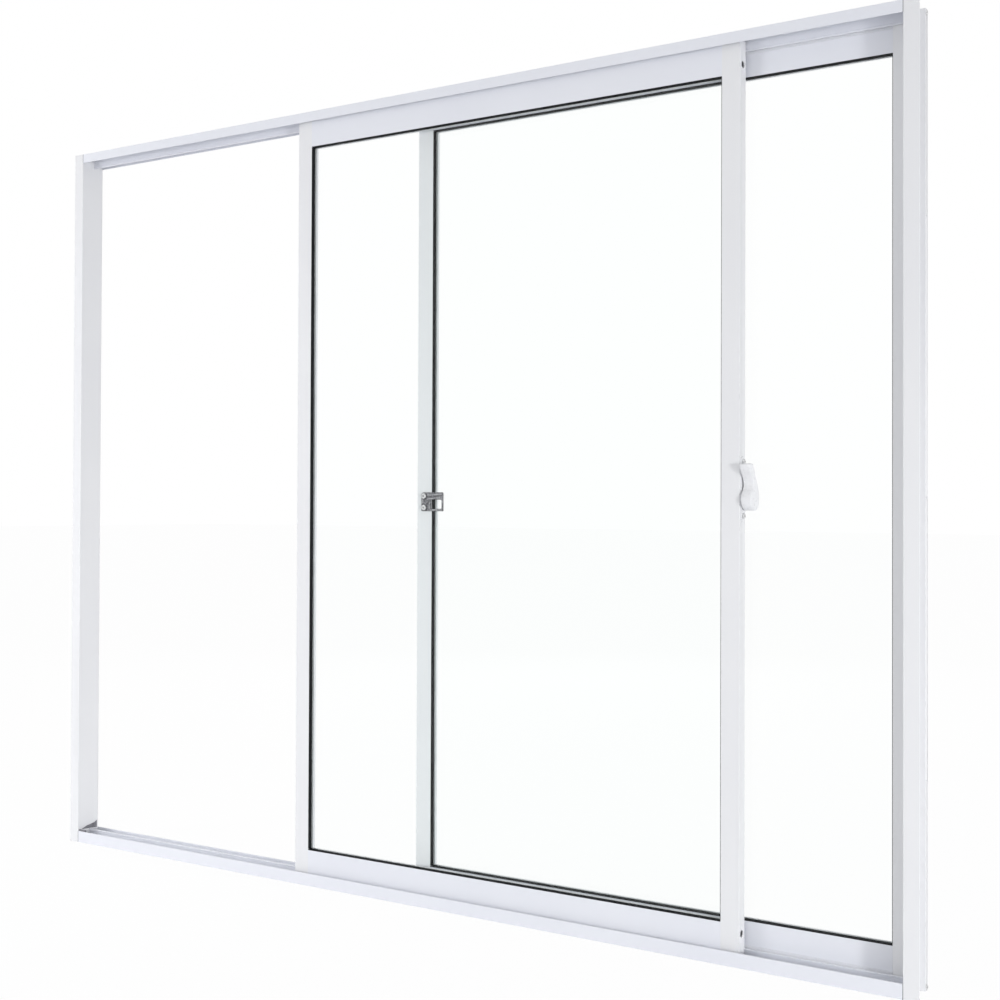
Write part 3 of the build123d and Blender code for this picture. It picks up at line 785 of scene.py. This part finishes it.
def keeper():
    """The cast keeper: a plate with raised ribs round its screws, and the loop that the latch hooks into. Its
    ribs take a lighter copy of the zinc, a painted highlight.
    """
    low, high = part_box("keeper")
    base = low.y + KEEPER_RIB_HEIGHT
    plate_right = low.x + KEEPER_PLATE_WIDTH
    loop = rounded_outline(plate_right, high.x - KEEPER_BAR, low.z + KEEPER_LOW_BAR, high.z - KEEPER_TOP_BAR,
                           (0.8 * MM, 1.2 * MM, 2.0 * MM, 0.8 * MM))
    outer = rounded_outline(low.x, high.x, low.z, high.z, (1.0 * MM, 1.0 * MM, 1.5 * MM, KEEPER_CORNER))
    seats = [(box_of(points)[0] + box_of(points)[1]) / 2 for points in solids_of("keeper_screws")]
    holes = [ring_outline(seat.x, seat.z, SHAFT_RADIUS * 1.1) for seat in seats]
    parts = [plate([outer, loop, *holes], base, high.y, KEEPER_EDGE)]
    boss_radii = (KEEPER_BOSS, KEEPER_HEAD_RADIUS + KEEPER_HEAD_GAP)
    for seat in seats:
        rings = [ring_outline(seat.x, seat.z, radius) for radius in boss_radii]
        parts.append(plate(rings, low.y, base + KEEPER_EDGE, KEEPER_RIB_HEIGHT * 0.3))
    arm_middle = high.z - KEEPER_TOP_BAR / 2
    # The ends of two ribs on the arm, one beside the loop, one on the lower bar and one between the screws
    lines = [((plate_right - 6.0 * MM, arm_middle + 1.5 * MM), (high.x - 3.0 * MM, arm_middle + 2.6 * MM)),
             ((plate_right - 5.0 * MM, arm_middle - 4.0 * MM), (high.x - 6.0 * MM, arm_middle - 2.8 * MM)),
             ((plate_right - 3.0 * MM, low.z + 5.0 * MM), (plate_right - 3.0 * MM, low.z + 12.0 * MM)),
             ((plate_right - 1.0 * MM, low.z + 1.9 * MM), (high.x - 2.0 * MM, low.z + 1.9 * MM)),
             ((low.x + 3.0 * MM, seats[0].z + 7.0 * MM), (low.x + 3.0 * MM, seats[0].z + 11.0 * MM))]
    ribs = [rib(start, end, KEEPER_RIB_WIDTH, low.y, base + KEEPER_EDGE) for start, end in lines]
    # The ribs get the lighter zinc: painted highlight where the raised ribs catch the light.
    for lit_rib in ribs:
        for face in lit_rib.polygons:
            face.material_index = 1
    mesh = bmesh.new()
    for part in parts + ribs:
        mesh.from_mesh(part)
        bpy.data.meshes.remove(part)
    add_piece("keeper_casting", finished(mesh, "keeper"), [zinc, rib_highlight_zinc], "keeper")


def joint_seals():
    """Thin beads of sealant in the four joints between the jambs' flanges and the head and sill."""
    mesh = bmesh.new()
    for side in (-1, 1):
        for node in ("head", "sill"):
            low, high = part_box(node)
            joint = side * JOINT_X
            tall = SEAL_TALL[node]
            z = high.z - tall if node == "head" else low.z
            add_box(mesh, Vector((joint - SEAL_WIDTH / 2, low.y - SEAL_PROUD, z)),
                    Vector((joint + SEAL_WIDTH / 2, low.y + SEAL_BITE, z + tall)))
    add_piece("joint_seals", finished(mesh, "joint_seals"), [sealant])


def corner_shade_block():
    """A dark block of painted shade at the left jamb's foot, where the corner lies in shade: a wedge on the
    web and a block behind the sill's front lip.
    """
    mesh = bmesh.new()
    face_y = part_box("sill")[0].y
    for thick, outline in ((SHADE_BLOCK_WEDGE_THICK, SHADE_BLOCK_WEDGE), (SHADE_BLOCK_FOOT_REACH, SHADE_BLOCK_FOOT)):
        rings = []
        for x in (-SHADE_BLOCK_WEB_X, -SHADE_BLOCK_WEB_X + thick):
            rings.append([mesh.verts.new((x, face_y + y * MM, z * MM)) for y, z in outline])
        mesh.faces.new(rings[0])
        mesh.faces.new(rings[1][::-1])
        for step in range(len(outline)):
            after = (step + 1) % len(outline)
            mesh.faces.new((rings[0][step], rings[0][after], rings[1][after], rings[1][step]))
    bmesh.ops.recalc_face_normals(mesh, faces=mesh.faces)
    # The dark grey of this block is painted shade.
    add_piece("corner_shade_block", finished(mesh, "corner_shade_block"), [sealant])


def detail_pieces():
    """The screws, wheels, brushes, lever and keeper in detail, and the sealant of the frame's joints and its
    dark block of painted shade.
    """
    screws("frame_screws", 0, head_share=FRAME_HEAD_SHARE)
    screws("latch_screws", 0)
    screws("keeper_screws", 1, KEEPER_HEAD_RADIUS)
    for leaf in LEAVES:
        screws(f"{leaf}_corner_screws", 0)
        wheels(leaf)
    brushes("front_leaf", 1)
    brushes("rear_leaf", -1)
    latch_lever()
    keeper()
    joint_seals()
    corner_shade_block()


# Studio

def white_where_seen(tree, lit, seen_white):
    """A blend of a lit surface and white, which rays from the camera, mirrors and glass see."""
    rays = tree.nodes.new("ShaderNodeLightPath").outputs
    direct = either(tree, rays["Is Camera Ray"], rays["Is Glossy Ray"])
    share = tree.nodes.new("ShaderNodeMath")
    share.operation = "MULTIPLY"
    share.inputs[1].default_value = seen_white
    tree.links.new(either(tree, direct, rays["Is Transmission Ray"]), share.inputs[0])
    blend = tree.nodes.new("ShaderNodeMixShader")
    tree.links.new(share.outputs["Value"], blend.inputs["Fac"])
    tree.links.new(lit, blend.inputs[1])
    return blend


def studio_world(level):
    """A soft light from all sides, seen as plain white."""
    world = bpy.data.worlds.new("studio")
    bpy.context.scene.world = world
    world.use_nodes = True
    tree = world.node_tree
    light = tree.nodes["Background"]
    light.inputs["Color"].default_value = (0.985, 0.99, 1.0, 1.0)
    light.inputs["Strength"].default_value = level
    white = tree.nodes.new("ShaderNodeBackground")
    white.inputs["Color"].default_value = (1.0, 1.0, 1.0, 1.0)
    white.inputs["Strength"].default_value = 1.0
    blend = white_where_seen(tree, light.outputs["Background"], 1.0)
    tree.links.new(white.outputs["Background"], blend.inputs[2])
    tree.links.new(blend.outputs["Shader"], tree.nodes["World Output"].inputs["Surface"])


def studio_floor():
    """A pale floor under the sill that fades into the background and keeps a soft shadow."""
    mesh = bpy.data.meshes.new("floor")
    half = FLOOR_SIZE / 2
    corners = [(-half, -half), (half, -half), (half, half), (-half, half)]
    mesh.from_pydata([(x, y, cad_low.z) for x, y in corners], [], [(0, 1, 2, 3)])
    floor = linked("floor", mesh)
    made, tree, shader, _ = new_material("floor")
    shader.inputs["Base Color"].default_value = (0.86, 0.86, 0.88, 1.0)
    shader.inputs["Roughness"].default_value = 0.9
    glow = tree.nodes.new("ShaderNodeEmission")
    glow.inputs["Strength"].default_value = 1.0
    blend = white_where_seen(tree, shader.outputs["BSDF"], 1.0 - FLOOR_SHADOW_SHARE)
    tree.links.new(glow.outputs["Emission"], blend.inputs[2])
    tree.links.new(blend.outputs["Shader"], tree.nodes["Material Output"].inputs["Surface"])
    mesh.materials.append(made)


def area_light(name, place, target, size, power, beam):
    """A soft lamp that points at a target, and that mirrors and glass don't show."""
    lamp = bpy.data.lights.new(name, "AREA")
    lamp.shape = "DISK"
    lamp.size = size
    lamp.energy = power
    lamp.spread = math.radians(beam)
    made = linked(name, lamp)
    made.location = place
    made.rotation_euler = (Vector(target) - Vector(place)).to_track_quat("-Z", "Y").to_euler()
    made.visible_glossy = False
    made.visible_transmission = False


def studio_camera():
    """The photograph's view: level with the window's middle, well to its right."""
    camera = bpy.data.cameras.new("camera")
    camera.sensor_width = SENSOR_WIDTH
    camera.lens = FOCAL_SHARE * SENSOR_WIDTH
    camera.shift_y = SHIFT_UP
    camera.clip_start = 0.05
    camera.clip_end = 100.0
    forward = Vector((-math.sin(CAMERA_TURN) * math.cos(CAMERA_TILT),
                      math.cos(CAMERA_TURN) * math.cos(CAMERA_TILT), math.sin(CAMERA_TILT)))
    level = Vector((math.cos(CAMERA_TURN), math.sin(CAMERA_TURN), 0.0))
    upward = level.cross(forward)
    right = level * math.cos(CAMERA_ROLL) + upward * math.sin(CAMERA_ROLL)
    up = upward * math.cos(CAMERA_ROLL) - level * math.sin(CAMERA_ROLL)
    turn = Matrix((right, up, -forward)).transposed()
    made = linked("camera", camera)
    made.matrix_world = Matrix.Translation(CAMERA_PLACE) @ turn.to_4x4()
    bpy.context.scene.camera = made


def studio():
    """Camera, lamps, world and floor."""
    studio_camera()
    studio_world(WORLD_LEVEL)
    studio_floor()
    for lamp in LAMPS:
        area_light(*lamp)
    bpy.context.scene.view_settings.view_transform = "Standard"


studio()
dress_nodes()
detail_pieces()
